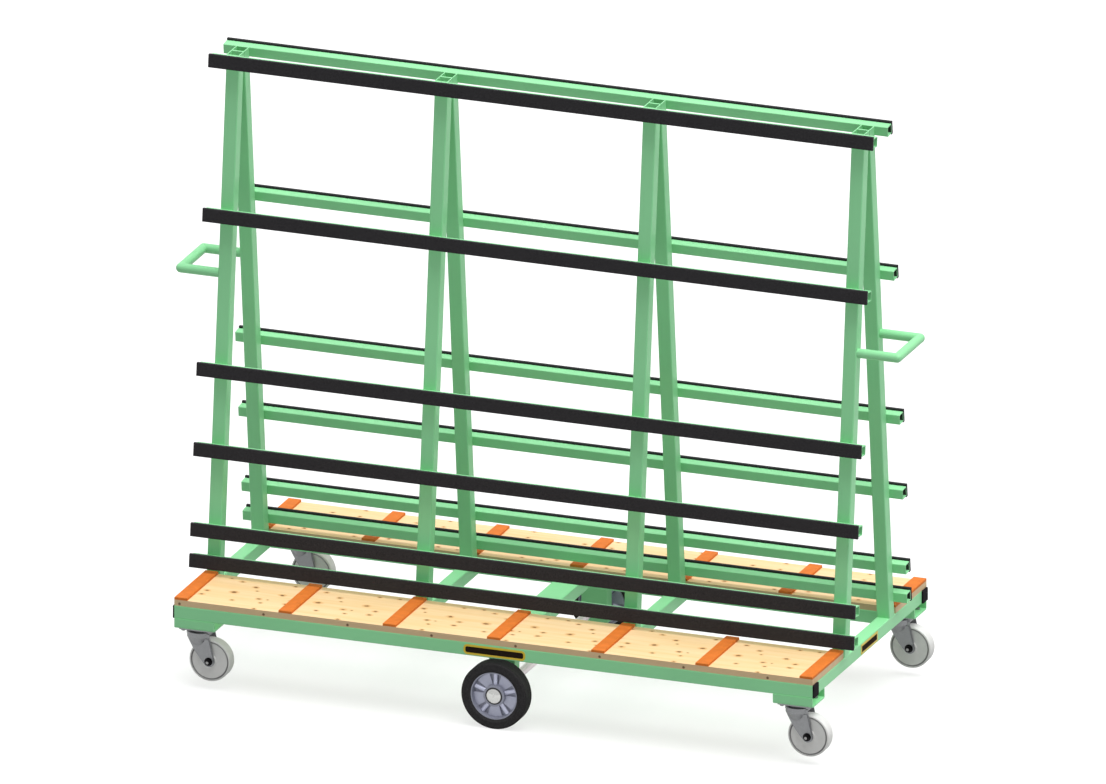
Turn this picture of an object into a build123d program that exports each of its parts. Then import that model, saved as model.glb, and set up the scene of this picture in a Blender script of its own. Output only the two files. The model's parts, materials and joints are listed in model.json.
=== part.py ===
from build123d import *
import os
from math import cos, radians, sin, tan

# Glass cart: a base frame of square tube, four A-frames with padded rack rails on both sides,
# a plywood deck on each side, four swivel castors and two larger wheels on a middle axle.
# X runs along the cart, Y from front to rear, Z up, in millimetres.
# The origin is on the floor under the middle of the cart.

os.makedirs("parts", exist_ok=True)

# Base frame
base_length = 1960
base_width = 920
frame_tube = 40
frame_wall = 3
frame_corner = 3.5
beam_width = 80

# A-frames
a_frame_count = 4
a_frame_height = 1538
leg_lean = 6

# Rack rails and their rubber facings
rack_length = 2040
rack_tube = 30
rack_wall = 2.5
rack_corner = 2.5
lowest_rail_height = 54
lowest_rail_step = 91.5
middle_rail_step = 237
rubber_height = 40
rubber_thickness = 10
rubber_round = 2

# Plywood decks and the strips on them
deck_thickness = 18
deck_leg_gap = 8.1
strip_width = 40
strip_thickness = 8
strip_edge = 1.5
strip_count = 7

# Plastic caps in the ends of the long base rails
cap_flange = 5
cap_flange_edge = 1.5
cap_plug_depth = 20
cap_plug_wall = 2.5
cap_clearance = 0.2

# Handles
handle_height = 891
handle_tube = 28
handle_wall = 2.5
handle_reach = 120
handle_arm_shift = 4

# Centre wheels
wheel_diameter = 200
wheel_width = 50
wheel_rail_gap = 15
tyre_inner_radius = 71
tyre_lip_radius = 79
tyre_lip_depth = 3
tyre_side_radius = 92
tyre_tread_width = 44
tyre_groove_width = 2
tyre_groove_depth = 1.2
tyre_seat_gap = 0.1

# Cast hubs of the centre wheels
hub_recess = 3
hub_rim_wall = 6
hub_boss_radius = 32
hub_bore_radius = 20
hub_panel_recess = 12
hub_panel_thickness = 14
hub_wall_thickness = 5
hub_spoke_count = 5
hub_panel_half_angle = 17
hub_pocket_angle = 17
hub_ridge_width = 14
hub_ridge_rise = 4
hub_ridge_root = 3

# Bearings, axle, posts, collars and end caps of the centre wheels
bearing_radius = 26
bearing_width = 15
bearing_edge = 1
axle_radius = 12.5
axle_edge = 1.5
post_wheel_gap = 18
post_below_axle = 40
collar_radius = 17
axle_cap_radius = 21.5
axle_cap_dome = 8
axle_cap_rim = 1.2
axle_cap_wall = 3

# Castor mounts bent from plate
channel_length = 122
channel_width = 98
channel_height = 29
channel_plate = 4
channel_bend = 6

# Castors
castor_height = 160
castor_trail = 36
castor_wheel_diameter = 125
castor_wheel_width = 38
castor_tread_round = 4
castor_disc_radius = 53.5
castor_disc_recess = 1
castor_groove_width = 4
castor_groove_depth = 5
castor_hub_radius = 20
castor_hub_play = 1
castor_plate_length = 104
castor_plate_width = 84
castor_plate_thickness = 4
castor_plate_corner = 8
race_radius = 33
race_height = 12
race_taper = 3
king_pin_radius = 7
king_nut_radius = 11
king_nut_height = 5
crown_radius = 39
crown_thickness = 4
crown_lip_width = 4
crown_lip_height = 3
crown_edge = 37
fork_gap = 45
fork_plate = 3
fork_skirt = 8
fork_shoulder = 25
fork_eye_radius = 17
fork_edge_angle = 42
strut_rise = 2.5
strut_width = 13.5
strut_inset = 1.5
strut_top_drop = 10

# Castor axle bolts
castor_bolt_radius = 5
castor_spacer_radius = 7.5
castor_flange_radius = 12
castor_flange_thickness = 2.5
castor_bolt_across_flats = 17
castor_bolt_head = 6.5
castor_bolt_tip = 3

# Bolts that hold the castors
fixing_spacing_x = 80
fixing_spacing_y = 60
fixing_radius = 4
fixing_hole_radius = 4.3
fixing_across_flats = 13
fixing_head = 5
fixing_tip = 1.5

# Clearances
running_fit = 0.05
turning_gap = 0.3

# Levels and places that follow from the sizes above
rail_bottom = wheel_diameter + wheel_rail_gap
rail_middle = rail_bottom + frame_tube / 2
rail_top = rail_bottom + frame_tube
deck_top = rail_top + deck_thickness
frame_top = rail_top + a_frame_height
half_length = base_length / 2
half_width = base_width / 2
cross_rail_length = base_width - 2 * frame_tube
a_frame_pitch = (base_length - frame_tube) / (a_frame_count - 1)
a_frame_x = [a_frame_pitch * (k - (a_frame_count - 1) / 2) for k in range(a_frame_count)]
lean = radians(leg_lean)
leg_foot_outer = frame_tube / cos(lean) + a_frame_height * tan(lean)
leg_face_length = a_frame_height / cos(lean)
deck_width = half_width - leg_foot_outer - deck_leg_gap
deck_middle = half_width - deck_width / 2
inner_rail_y = half_width - deck_width + frame_tube / 2
sides = {"front": -1, "rear": 1}
ends = {"left": -1, "right": 1}

# Heights of the rack rails along the leg, from the lowest to the one flush with the leg's top
second_rail = lowest_rail_height + lowest_rail_step
fourth_rail = second_rail + 2 * middle_rail_step
top_rail = leg_face_length - rack_tube / 2
rail_heights = [
    lowest_rail_height,
    second_rail,
    second_rail + middle_rail_step,
    fourth_rail,
    (fourth_rail + top_rail) / 2,
    top_rail,
]


def write(piece, label):
    """Label a finished piece and write it to its own file."""
    piece.part.label = label
    export_step(piece.part, f"parts/{label}.step")


def across_x(x, y, z):
    """A plane that faces +X, with its own x along Y and its own y along Z."""
    return Plane(origin=(x, y, z), x_dir=(0, 1, 0), z_dir=(1, 0, 0))


def across_y(x, y, z):
    """A plane that faces the front, with its own x along X and its own y along Z."""
    return Plane(origin=(x, y, z), x_dir=(1, 0, 0), z_dir=(0, -1, 0))


def tube_section(width, height, wall, corner):
    """The section of a rectangular tube, drawn in the sketch that is open."""
    RectangleRounded(width, height, corner)
    Rectangle(width - 2 * wall, height - 2 * wall, mode=Mode.SUBTRACT)


def on_leg_face(side, up, out):
    """The Y and Z of a point so far up a leg's outer face and so far out from it."""
    y = side * (leg_foot_outer - up * sin(lean) + out * cos(lean))
    z = rail_top + up * cos(lean) + out * sin(lean)
    return y, z


def along_rack(side, x, up, out):
    """A plane that faces +X at that point, with its own x pointing out of the leg's face."""
    y, z = on_leg_face(side, up, out)
    outward = (0, side * cos(lean), sin(lean))
    return Plane(origin=(x, y, z), x_dir=outward, z_dir=(1, 0, 0))


# Long base rails, each with an inner rail under the deck's inner edge, in lengths that fit
# between the cross rails and the centre beam
cross_members = sorted([(x, frame_tube / 2) for x in a_frame_x] + [(0, beam_width / 2)])
for side_name, side in sides.items():
    with BuildPart() as base_rail:
        with BuildSketch(across_x(-half_length, side * (half_width - frame_tube / 2), rail_middle)):
            tube_section(frame_tube, frame_tube, frame_wall, frame_corner)
        extrude(amount=base_length)
        for (left_x, left_half), (right_x, right_half) in zip(cross_members, cross_members[1:]):
            inner_start = left_x + left_half
            inner_length = right_x - right_half - inner_start
            if inner_length > 0:
                with BuildSketch(across_x(inner_start, side * inner_rail_y, rail_middle)):
                    tube_section(frame_tube, frame_tube, frame_wall, frame_corner)
                extrude(amount=inner_length)
    write(base_rail, f"base_rail_{side_name}")

# Cross rails between the long rails, one under each A-frame
cross_rail_names = ["end_rail_left", "cross_rail_left", "cross_rail_right", "end_rail_right"]
for label, x in zip(cross_rail_names, a_frame_x):
    with BuildPart() as cross_rail:
        with BuildSketch(across_y(x, cross_rail_length / 2, rail_middle)):
            tube_section(frame_tube, frame_tube, frame_wall, frame_corner)
        extrude(amount=cross_rail_length)
    write(cross_rail, label)

# Wide beam across the middle, which carries the wheel posts
with BuildPart() as centre_beam:
    with BuildSketch(across_y(0, cross_rail_length / 2, rail_middle)):
        tube_section(beam_width, frame_tube, frame_wall, frame_corner)
    extrude(amount=cross_rail_length)
write(centre_beam, "centre_beam")

# Leaning legs, cut level at foot and top, with their inner faces meeting at the top
for side_name, side in sides.items():
    for number, x in enumerate(a_frame_x, start=1):
        foot_y, foot_z = on_leg_face(side, -frame_tube, -frame_tube / 2)
        leg_axis = (0, -side * sin(lean), cos(lean))
        with BuildPart() as leg:
            with BuildSketch(Plane(origin=(x, foot_y, foot_z), x_dir=(1, 0, 0), z_dir=leg_axis)):
                tube_section(frame_tube, frame_tube, frame_wall, frame_corner)
            extrude(amount=leg_face_length + 2 * frame_tube)
            split(bisect_by=Plane.XY.offset(rail_top), keep=Keep.TOP)
            split(bisect_by=Plane.XY.offset(frame_top), keep=Keep.BOTTOM)
        write(leg, f"leg_{side_name}_{number}")

# Rack rails, open at both ends, numbered from the lowest
for side_name, side in sides.items():
    for number, height in enumerate(rail_heights, start=1):
        with BuildPart() as rack_rail:
            with BuildSketch(along_rack(side, -rack_length / 2, height, rack_tube / 2)):
                tube_section(rack_tube, rack_tube, rack_wall, rack_corner)
            extrude(amount=rack_length)
        write(rack_rail, f"rack_rail_{side_name}_{number}")

# Rubber facings, a little taller than the rails that they cover
with BuildPart() as rubber_facings:
    for side in sides.values():
        for height in rail_heights:
            facing_middle = rack_tube + rubber_thickness / 2
            with BuildSketch(along_rack(side, -rack_length / 2, height, facing_middle)) as facing:
                Rectangle(rubber_thickness, rubber_height)
                fillet(facing.vertices().group_by(Axis.X)[-1], rubber_round)
            extrude(amount=rack_length)
write(rubber_facings, "rubber_facings")

# Plywood decks, flush with the base's outer faces
for side_name, side in sides.items():
    with BuildPart() as deck:
        with BuildSketch(Plane((0, side * deck_middle, rail_top))):
            Rectangle(base_length, deck_width)
        extrude(amount=deck_thickness)
    write(deck, f"deck_{side_name}")

# Strips across both decks, the first and last flush with the ends
strip_pitch = (base_length - strip_width) / (strip_count - 1)
with BuildPart() as deck_strips:
    for side in sides.values():
        with BuildSketch(Plane((0, side * deck_middle, deck_top))):
            with GridLocations(strip_pitch, deck_width, strip_count, 1):
                Rectangle(strip_width, deck_width)
        extrude(amount=strip_thickness)
    chamfer(deck_strips.edges().group_by(Axis.Z)[-1], strip_edge)
write(deck_strips, "deck_strips")

# Caps pushed into the long rails' ends
plug_size = frame_tube - 2 * frame_wall - 2 * cap_clearance
with BuildPart() as end_caps:
    for end in ends.values():
        for side in sides.values():
            rail_y = side * (half_width - frame_tube / 2)
            with BuildSketch(across_x(end * half_length, rail_y, rail_middle)):
                RectangleRounded(frame_tube, frame_tube, frame_corner)
            extrude(amount=end * cap_flange)
            with BuildSketch(across_x(end * half_length, rail_y, rail_middle)):
                Rectangle(plug_size, plug_size)
                Rectangle(plug_size - 2 * cap_plug_wall, plug_size - 2 * cap_plug_wall, mode=Mode.SUBTRACT)
            extrude(amount=-end * cap_plug_depth)
    flange_faces = end_caps.faces().filter_by(Axis.X).group_by(Axis.X)
    chamfer(flange_faces[0].edges() + flange_faces[-1].edges(), cap_flange_edge)
write(end_caps, "end_caps")

# Handles: a tube loop at each end, welded to the sides of the end legs
handle_z = rail_top + handle_height
handle_leg_middle = leg_foot_outer - handle_height * tan(lean) - frame_tube / cos(lean) / 2
handle_arm_y = handle_leg_middle + handle_arm_shift
for end_name, end in ends.items():
    with BuildPart() as handle:
        for radius, mode in (
            (handle_tube / 2, Mode.ADD),
            (handle_tube / 2 - handle_wall, Mode.SUBTRACT),
        ):
            with BuildSketch(across_x(end * half_length, 0, handle_z)):
                with Locations((-handle_arm_y, 0), (handle_arm_y, 0)):
                    Circle(radius)
            extrude(amount=end * handle_reach, mode=mode)
            bar_x = end * (half_length + handle_reach)
            with BuildSketch(across_y(bar_x, handle_arm_y, handle_z)):
                Circle(radius)
            extrude(amount=2 * handle_arm_y, mode=mode)
            with Locations((bar_x, -handle_arm_y, handle_z), (bar_x, handle_arm_y, handle_z)):
                Sphere(radius, mode=mode)
    write(handle, f"handle_{end_name}")

# Middle axle line
axle_z = wheel_diameter / 2
wheel_y = half_width - wheel_width / 2
hub_half_width = wheel_width / 2 - hub_recess
post_outer = half_width - wheel_width - post_wheel_gap
post_bottom = axle_z - post_below_axle
hub_face = wheel_y + hub_half_width
axle_end = hub_face + turning_gap + axle_cap_dome - axle_cap_wall - axle_edge

# Posts of rectangular tube under the wide beam, bored for the axle
for side_name, side in sides.items():
    post_y = side * (post_outer - frame_tube / 2)
    with BuildPart() as axle_post:
        with BuildSketch(Plane((0, post_y, post_bottom))):
            tube_section(beam_width, frame_tube, frame_wall, frame_corner)
        extrude(amount=rail_bottom - post_bottom)
        with BuildSketch(across_y(0, post_y, axle_z)):
            Circle(axle_radius + running_fit)
        extrude(amount=frame_tube, both=True, mode=Mode.SUBTRACT)
    write(axle_post, f"axle_post_{side_name}")

# Fixed axle right through both posts and both wheels
with BuildPart() as axle:
    with BuildSketch(across_y(0, 0, axle_z)):
        Circle(axle_radius)
    extrude(amount=axle_end, both=True)
    chamfer(axle.edges().filter_by(GeomType.CIRCLE), axle_edge)
write(axle, "axle")

# Collars that space the wheels off the posts
collar_length = hub_face - 2 * hub_half_width - turning_gap - post_outer
with BuildPart() as axle_collars:
    for side in sides.values():
        with BuildSketch(across_y(0, side * post_outer, axle_z)):
            Circle(collar_radius)
            Circle(axle_radius + running_fit, mode=Mode.SUBTRACT)
        extrude(amount=-side * collar_length)
write(axle_collars, "axle_collars")

# Domed caps pressed on the axle's ends
cap_inside = axle_cap_dome - axle_cap_wall
cap_bore = axle_radius + running_fit
with BuildPart() as axle_caps:
    for side in sides.values():
        cap_base = side * (hub_face + turning_gap)
        with BuildSketch(across_x(0, cap_base, axle_z)):
            with BuildLine():
                ThreePointArc(
                    (side * axle_cap_rim, axle_cap_radius),
                    (side * axle_cap_dome, 0),
                    (side * axle_cap_rim, -axle_cap_radius),
                )
                Polyline(
                    (side * axle_cap_rim, -axle_cap_radius),
                    (0, -axle_cap_radius),
                    (0, axle_cap_radius),
                    (side * axle_cap_rim, axle_cap_radius),
                )
            make_face()
            Rectangle(2 * cap_inside, 2 * cap_bore, mode=Mode.SUBTRACT)
            with Locations((0, -axle_cap_radius)):
                Rectangle(2 * axle_cap_dome, 2 * axle_cap_radius, mode=Mode.SUBTRACT)
        revolve(axis=Axis((0, 0, axle_z), (0, 1, 0)))
write(axle_caps, "axle_caps")

# Rubber tyres
for side_name, side in sides.items():
    tyre_plane = across_x(0, side * wheel_y, axle_z)
    tyre_radius = wheel_diameter / 2
    half_tread = tyre_tread_width / 2
    half_tyre = wheel_width / 2
    shoulder = (half_tyre + half_tread) / 2 + (half_tyre - half_tread) / 4
    with BuildPart() as tyre:
        with BuildSketch(tyre_plane) as tyre_section:
            with BuildLine():
                for flank in (-1, 1):
                    Polyline(
                        (0, tyre_inner_radius),
                        (flank * (half_tyre - tyre_lip_depth), tyre_inner_radius),
                        (flank * half_tyre, tyre_lip_radius),
                        (flank * half_tyre, tyre_side_radius),
                    )
                    ThreePointArc(
                        (flank * half_tyre, tyre_side_radius),
                        (flank * shoulder, (tyre_side_radius + 2 * tyre_radius) / 3),
                        (flank * half_tread, tyre_radius),
                    )
                Line((-half_tread, tyre_radius), (half_tread, tyre_radius))
            make_face()
            with Locations((-half_tread, tyre_radius), (half_tread, tyre_radius)):
                Rectangle(tyre_groove_width, 2 * tyre_groove_depth, mode=Mode.SUBTRACT)
        revolve(axis=Axis((0, 0, axle_z), (0, 1, 0)))
    write(tyre, f"tyre_{side_name}")

# Cast hubs: a web of front and back panels with pockets between them, and a rounded ridge in
# each pocket
hub_outer_radius = tyre_inner_radius - tyre_seat_gap
hub_rim_inner = hub_outer_radius - hub_rim_wall
panel_face = hub_half_width - hub_panel_recess
panel_back = panel_face - hub_panel_thickness
sector_step = 360 / hub_spoke_count
pocket_half_angle = sector_step / 2 - hub_panel_half_angle
for side_name, side in sides.items():
    hub_plane = Plane(origin=(0, side * wheel_y, axle_z), x_dir=(-side, 0, 0), z_dir=(0, side, 0))
    with BuildPart() as hub:
        with BuildSketch(across_x(0, side * wheel_y, axle_z)):
            with BuildLine():
                Polyline(
                    (-hub_half_width, hub_rim_inner + hub_rim_wall / 2),
                    (-hub_half_width, hub_outer_radius),
                    (hub_half_width, hub_outer_radius),
                    (hub_half_width, hub_rim_inner + hub_rim_wall / 2),
                    (panel_face, hub_rim_inner),
                    (-panel_face, hub_rim_inner),
                    close=True,
                )
            make_face()
            with Locations((0, (hub_bore_radius + hub_boss_radius) / 2)):
                Rectangle(2 * hub_half_width, hub_boss_radius - hub_bore_radius)
        revolve(axis=Axis((0, 0, axle_z), (0, 1, 0)))
        for face_side, start in ((-1, hub_pocket_angle), (1, hub_pocket_angle + sector_step / 2)):
            half_angle = pocket_half_angle if face_side < 0 else hub_panel_half_angle
            with BuildSketch(hub_plane.offset(face_side * panel_face)):
                with PolarLocations(0, hub_spoke_count, start_angle=start):
                    wedge_height = hub_outer_radius * tan(radians(half_angle))
                    Polygon(
                        (0, 0),
                        (hub_outer_radius, -wedge_height),
                        (hub_outer_radius, wedge_height),
                        align=None,
                    )
                Circle(hub_rim_inner + hub_rim_wall / 2, mode=Mode.INTERSECT)
                Circle(hub_boss_radius - hub_rim_wall / 2, mode=Mode.SUBTRACT)
            extrude(amount=-face_side * hub_panel_thickness)
        with BuildSketch(hub_plane.offset(-panel_face)):
            wall_length = hub_rim_inner - hub_boss_radius + hub_rim_wall
            wall_middle = (hub_rim_inner + hub_boss_radius) / 2
            for wall_angle in (pocket_half_angle, -pocket_half_angle):
                with PolarLocations(wall_middle, hub_spoke_count, hub_pocket_angle + wall_angle):
                    Rectangle(wall_length, hub_wall_thickness)
        extrude(amount=2 * panel_face)
        for face_side, start in ((1, hub_pocket_angle), (-1, hub_pocket_angle + sector_step / 2)):
            for spoke in range(hub_spoke_count):
                turn = radians(start + spoke * sector_step)
                outward = hub_plane.x_dir * cos(turn) + hub_plane.y_dir * sin(turn)
                ridge_start = hub_plane.origin + outward * (hub_boss_radius - hub_ridge_root)
                ridge_plane = Plane(origin=ridge_start, x_dir=hub_plane.z_dir * face_side, z_dir=outward)
                ridge_base = -panel_back - hub_panel_thickness / 2
                ridge_crest = panel_face + hub_ridge_rise - hub_ridge_width / 2
                with BuildSketch(ridge_plane):
                    with Locations(((ridge_base + ridge_crest) / 2, 0)):
                        Rectangle(ridge_crest - ridge_base, hub_ridge_width)
                    with Locations((ridge_crest, 0)):
                        Circle(hub_ridge_width / 2)
                extrude(amount=hub_rim_inner - hub_boss_radius + hub_ridge_root + hub_rim_wall / 3)
        with BuildSketch(hub_plane):
            Circle(hub_bore_radius)
        extrude(amount=hub_half_width, both=True, mode=Mode.SUBTRACT)
        for face_side in (-1, 1):
            with BuildSketch(hub_plane.offset(face_side * hub_half_width)):
                Circle(bearing_radius + running_fit)
            extrude(amount=-face_side * bearing_width, mode=Mode.SUBTRACT)
    write(hub, f"hub_{side_name}")

# A sealed bearing in each side of each hub
for side_name, side in sides.items():
    with BuildPart() as hub_bearings:
        for face_side in (-1, 1):
            bearing_face = side * wheel_y + face_side * hub_half_width
            with BuildSketch(across_y(0, bearing_face, axle_z)):
                Circle(bearing_radius)
                Circle(axle_radius + running_fit, mode=Mode.SUBTRACT)
            extrude(amount=face_side * bearing_width)
        bearing_rims = hub_bearings.edges().filter_by(GeomType.CIRCLE)
        chamfer(bearing_rims.group_by(SortBy.RADIUS)[-1], bearing_edge)
    write(hub_bearings, f"hub_bearings_{side_name}")

# Castor mounts and castors stand at the four corners
castor_x = half_length - channel_length / 2
castor_y = half_width - channel_width / 2
castor_top = rail_bottom - channel_height
castor_axle_z = castor_top - castor_height + castor_wheel_diameter / 2
castor_places = {
    "front_left": (-castor_x, -castor_y),
    "front_right": (castor_x, -castor_y),
    "rear_left": (-castor_x, castor_y),
    "rear_right": (castor_x, castor_y),
}

# Channels of bent plate, open upwards
with BuildPart() as castor_channels:
    for x, y in castor_places.values():
        channel_start = x - channel_length / 2
        channel_middle = castor_top + channel_height / 2
        with BuildSketch(across_x(channel_start, y, channel_middle)) as channel_section:
            Rectangle(channel_width, channel_height)
            fillet(channel_section.vertices().group_by(Axis.Y)[0], channel_bend)
        extrude(amount=channel_length)
        with BuildSketch(across_x(channel_start, y, channel_middle + channel_plate)) as channel_inside:
            Rectangle(channel_width - 2 * channel_plate, channel_height)
            fillet(channel_inside.vertices().group_by(Axis.Y)[0], channel_bend - channel_plate)
        extrude(amount=channel_length, mode=Mode.SUBTRACT)
        with BuildSketch(Plane((x, y, castor_top))):
            with GridLocations(fixing_spacing_x, fixing_spacing_y, 2, 2):
                Circle(fixing_hole_radius)
        extrude(amount=channel_plate, mode=Mode.SUBTRACT)
write(castor_channels, "castor_channels")

# Castor top plates, each with its fixed race and king pin
plate_bottom = castor_top - castor_plate_thickness
race_bottom = plate_bottom - race_height
crown_top = race_bottom - turning_gap
crown_bottom = crown_top - crown_thickness
king_nut_top = crown_bottom - turning_gap
with BuildPart() as castor_plates:
    for x, y in castor_places.values():
        with BuildSketch(Plane((x, y, plate_bottom))):
            RectangleRounded(castor_plate_length, castor_plate_width, castor_plate_corner)
            with GridLocations(fixing_spacing_x, fixing_spacing_y, 2, 2):
                Circle(fixing_hole_radius, mode=Mode.SUBTRACT)
        extrude(amount=castor_plate_thickness)
        with BuildSketch(Plane((x, y, plate_bottom))):
            Circle(race_radius)
        with BuildSketch(Plane((x, y, race_bottom))):
            Circle(race_radius - race_taper)
        loft()
        with BuildSketch(Plane((x, y, king_nut_top))):
            Circle(king_pin_radius)
        extrude(amount=race_bottom - king_nut_top)
        with BuildSketch(Plane((x, y, king_nut_top))):
            Circle(king_nut_radius)
        extrude(amount=-king_nut_height)
write(castor_plates, "castor_plates")

# Bolts and nuts that hold each top plate to its channel
bolt_tip_z = plate_bottom - fixing_head - fixing_tip
with BuildPart() as castor_bolts:
    for x, y in castor_places.values():
        with BuildSketch(Plane((x, y, castor_top + channel_plate))):
            with GridLocations(fixing_spacing_x, fixing_spacing_y, 2, 2):
                RegularPolygon(fixing_across_flats / 2, 6, major_radius=False)
        extrude(amount=fixing_head)
        with BuildSketch(Plane((x, y, bolt_tip_z))):
            with GridLocations(fixing_spacing_x, fixing_spacing_y, 2, 2):
                Circle(fixing_radius)
        extrude(amount=castor_top + channel_plate - bolt_tip_z)
        with BuildSketch(Plane((x, y, plate_bottom))):
            with GridLocations(fixing_spacing_x, fixing_spacing_y, 2, 2):
                RegularPolygon(fixing_across_flats / 2, 6, major_radius=False)
                Circle(fixing_radius + running_fit, mode=Mode.SUBTRACT)
        extrude(amount=-fixing_head)
write(castor_bolts, "castor_bolts")

# Pressed forks: a round crown with one straight edge and a raised lip, then a short skirt and a
# hollow shoulder that run into two cheeks, which narrow to the axle and each have a raised strut
fork_half_gap = fork_gap / 2
fork_half_width = fork_half_gap + fork_plate
skirt_bottom = crown_bottom - fork_skirt
shoulder_bottom = skirt_bottom - fork_shoulder
cheek_left = -((crown_radius**2 - fork_half_width**2) ** 0.5)
strut_top = crown_bottom - strut_top_drop
edge_angle = radians(fork_edge_angle)
edge_direction = (-sin(edge_angle), cos(edge_angle))
eye_right = (castor_trail + fork_eye_radius, castor_axle_z)
eye_bottom = (castor_trail, castor_axle_z - fork_eye_radius)
eye_left = (
    castor_trail - fork_eye_radius * cos(edge_angle),
    castor_axle_z - fork_eye_radius * sin(edge_angle),
)

for place, (x, y) in castor_places.items():
    middle = across_y(x, y, 0)
    with BuildPart() as castor_fork:
        with BuildSketch(Plane((x, y, crown_bottom))):
            Circle(crown_radius)
            with Locations((crown_edge / 2, 0)):
                Rectangle(crown_edge, 2 * fork_half_width)
        extrude(amount=crown_thickness)
        with BuildSketch(Plane((x, y, crown_top))):
            Circle(crown_radius)
            Circle(crown_radius - crown_lip_width, mode=Mode.SUBTRACT)
        extrude(amount=crown_lip_height)
        with BuildSketch(Plane((x, y, skirt_bottom))):
            Circle(crown_radius)
        extrude(amount=fork_skirt)
        with BuildSketch(Plane((x, y, skirt_bottom))):
            Circle(crown_radius)
        with BuildSketch(Plane((x, y, shoulder_bottom))):
            Circle(fork_half_width)
        loft()
        split(bisect_by=Plane(origin=(x + crown_edge, y, 0), z_dir=(1, 0, 0)), keep=Keep.BOTTOM)
        with BuildSketch(middle):
            with BuildLine():
                ThreePointArc(eye_right, eye_bottom, eye_left)
                TangentArc(eye_left, (cheek_left, skirt_bottom), tangent=edge_direction)
                Polyline(
                    (cheek_left, skirt_bottom),
                    (cheek_left, crown_bottom),
                    (crown_edge, crown_bottom),
                    eye_right,
                )
            make_face()
        extrude(amount=fork_half_width, both=True)
        with BuildSketch(Plane((x, y, skirt_bottom))):
            Circle(crown_radius - fork_plate)
        extrude(amount=fork_skirt, mode=Mode.SUBTRACT)
        with BuildSketch(Plane((x, y, skirt_bottom))):
            Circle(crown_radius - fork_plate)
        with BuildSketch(Plane((x, y, shoulder_bottom))):
            Circle(fork_half_width - fork_plate)
        loft(mode=Mode.SUBTRACT)
        with BuildSketch(middle):
            with Locations((castor_trail, castor_axle_z)):
                Circle(fork_eye_radius - strut_inset)
            Polygon(
                (castor_trail - strut_width, castor_axle_z),
                (castor_trail - strut_width, strut_top),
                (crown_edge - strut_inset, strut_top),
                (castor_trail + fork_eye_radius - strut_inset, castor_axle_z),
                align=None,
            )
        extrude(amount=fork_half_width + strut_rise, both=True)
        with BuildSketch(middle):
            with Locations((0, crown_bottom / 2)):
                Rectangle(2 * castor_height, crown_bottom)
        extrude(amount=fork_half_gap, both=True, mode=Mode.SUBTRACT)
        with BuildSketch(middle):
            with Locations((castor_trail, castor_axle_z)):
                Circle(castor_bolt_radius + running_fit)
        extrude(amount=crown_radius, both=True, mode=Mode.SUBTRACT)
        with BuildSketch(Plane((x, y, crown_bottom))):
            Circle(king_pin_radius + running_fit)
        extrude(amount=crown_thickness, mode=Mode.SUBTRACT)
    write(castor_fork, f"castor_fork_{place}")

# Nylon castor wheels with a groove round each side
castor_wheel_radius = castor_wheel_diameter / 2
half_tread = castor_wheel_width / 2
castor_hub_half = fork_half_gap - castor_hub_play
for place, (x, y) in castor_places.items():
    with BuildPart() as castor_wheel:
        with BuildSketch(across_x(x + castor_trail, y, castor_axle_z)):
            with Locations((0, castor_wheel_radius / 2)):
                Rectangle(castor_wheel_width, castor_wheel_radius)
            for flank in (-half_tread, half_tread):
                with Locations((flank, castor_disc_radius / 2)):
                    Rectangle(2 * castor_disc_recess, castor_disc_radius, mode=Mode.SUBTRACT)
                with Locations((flank, castor_disc_radius + castor_groove_width / 2)):
                    Rectangle(2 * castor_groove_depth, castor_groove_width, mode=Mode.SUBTRACT)
            with Locations((0, castor_hub_radius / 2)):
                Rectangle(2 * castor_hub_half, castor_hub_radius)
            with Locations((0, castor_spacer_radius / 2)):
                Rectangle(2 * castor_hub_half, castor_spacer_radius + 2 * running_fit, mode=Mode.SUBTRACT)
        revolve(axis=Axis((x + castor_trail, 0, castor_axle_z), (0, 1, 0)))
        round_edges = castor_wheel.edges().filter_by(GeomType.CIRCLE)
        fillet(round_edges.group_by(SortBy.RADIUS)[-1], castor_tread_round)
    write(castor_wheel, f"castor_wheel_{place}")

# Castor axle bolts, each with its nut in front and the spacer tube that the wheel turns on
flange_seat = fork_half_width + strut_rise
for place, (x, y) in castor_places.items():
    bolt_line = Plane(origin=(x + castor_trail, y, castor_axle_z), x_dir=(-1, 0, 0), z_dir=(0, 1, 0))
    with BuildPart() as castor_axle:
        with BuildSketch(bolt_line.offset(flange_seat)):
            Circle(castor_flange_radius)
        extrude(amount=castor_flange_thickness)
        with BuildSketch(bolt_line.offset(flange_seat + castor_flange_thickness)):
            RegularPolygon(castor_bolt_across_flats / 2, 6, major_radius=False)
        extrude(amount=castor_bolt_head)
        nut_height = castor_flange_thickness + castor_bolt_head
        with BuildSketch(bolt_line.offset(flange_seat)):
            Circle(castor_bolt_radius)
        extrude(amount=-2 * flange_seat - nut_height - castor_bolt_tip)
        with BuildSketch(bolt_line.offset(-flange_seat)):
            Circle(castor_flange_radius)
            Circle(castor_bolt_radius + running_fit, mode=Mode.SUBTRACT)
        extrude(amount=-castor_flange_thickness)
        with BuildSketch(bolt_line.offset(-flange_seat - castor_flange_thickness)):
            RegularPolygon(castor_bolt_across_flats / 2, 6, major_radius=False)
            Circle(castor_bolt_radius + running_fit, mode=Mode.SUBTRACT)
        extrude(amount=-castor_bolt_head)
        with BuildSketch(bolt_line):
            Circle(castor_spacer_radius)
            Circle(castor_bolt_radius + running_fit, mode=Mode.SUBTRACT)
        extrude(amount=fork_half_gap, both=True)
    write(castor_axle, f"castor_axle_{place}")
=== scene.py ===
import json
from math import cos, radians, sin

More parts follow.
